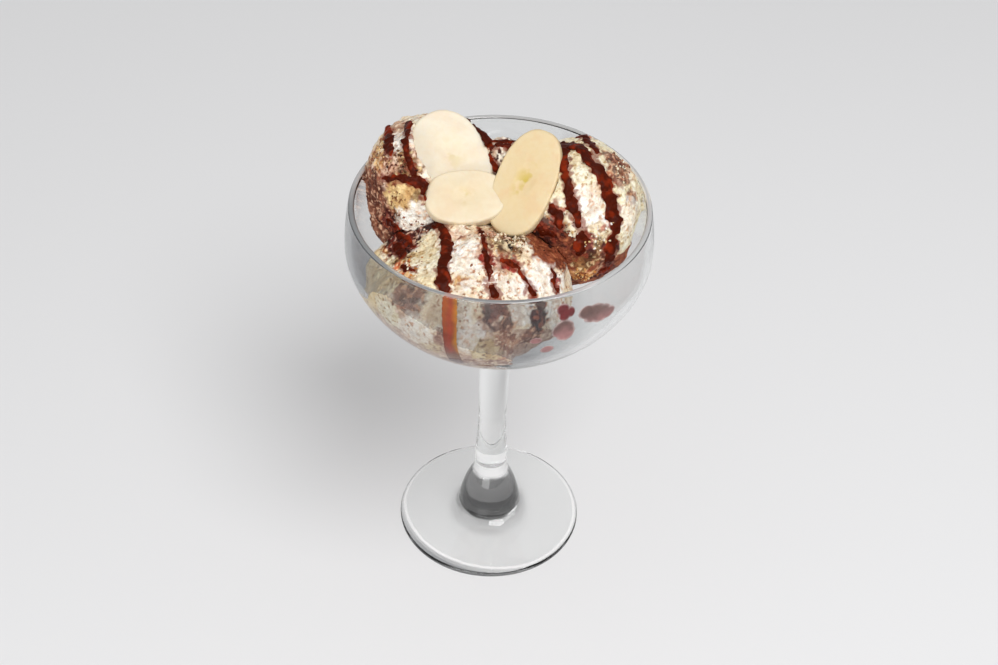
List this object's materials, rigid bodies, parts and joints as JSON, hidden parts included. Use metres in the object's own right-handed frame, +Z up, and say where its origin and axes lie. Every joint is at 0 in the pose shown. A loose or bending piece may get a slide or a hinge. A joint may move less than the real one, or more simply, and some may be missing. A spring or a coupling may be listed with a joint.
{
  "type": "tiramisu dessert in a coupe glass",
  "caption": "Stemmed coupe glass holding rough scoops of mascarpone cream and cocoa-soaked sponge, topped with banana slices and dark chocolate sauce.",
  "frame": {"origin": "centre of the foot's underside, on the table", "axes": "+Z up along the glass's axis, -Y towards the front scoop, +X towards the right scoop"},
  "size_m": [0.1008, 0.1008, 0.1637],
  "materials": {
    "glass": "clear polished drinking glass",
    "cream": "torn, crumbly ivory mascarpone cream with brown flecks, soft satin sheen",
    "sponge": "porous brown sponge soaked with coffee and cocoa, damp and matt",
    "banana": "moist pale cream banana flesh with faint seed marks",
    "sauce": "thick glossy dark chocolate sauce, orange-brown where it is thin"
  },
  "bodies": {
    "root": {"glass": "glass", "cream_left": "cream", "sponge_left": "sponge", "cream_right": "cream", "sponge_right": "sponge", "cream_front": "cream", "sponge_front": "sponge", "banana_slice_back": "banana", "banana_slice_right": "banana", "banana_slice_front": "banana"}
  },
  "joints": []
}
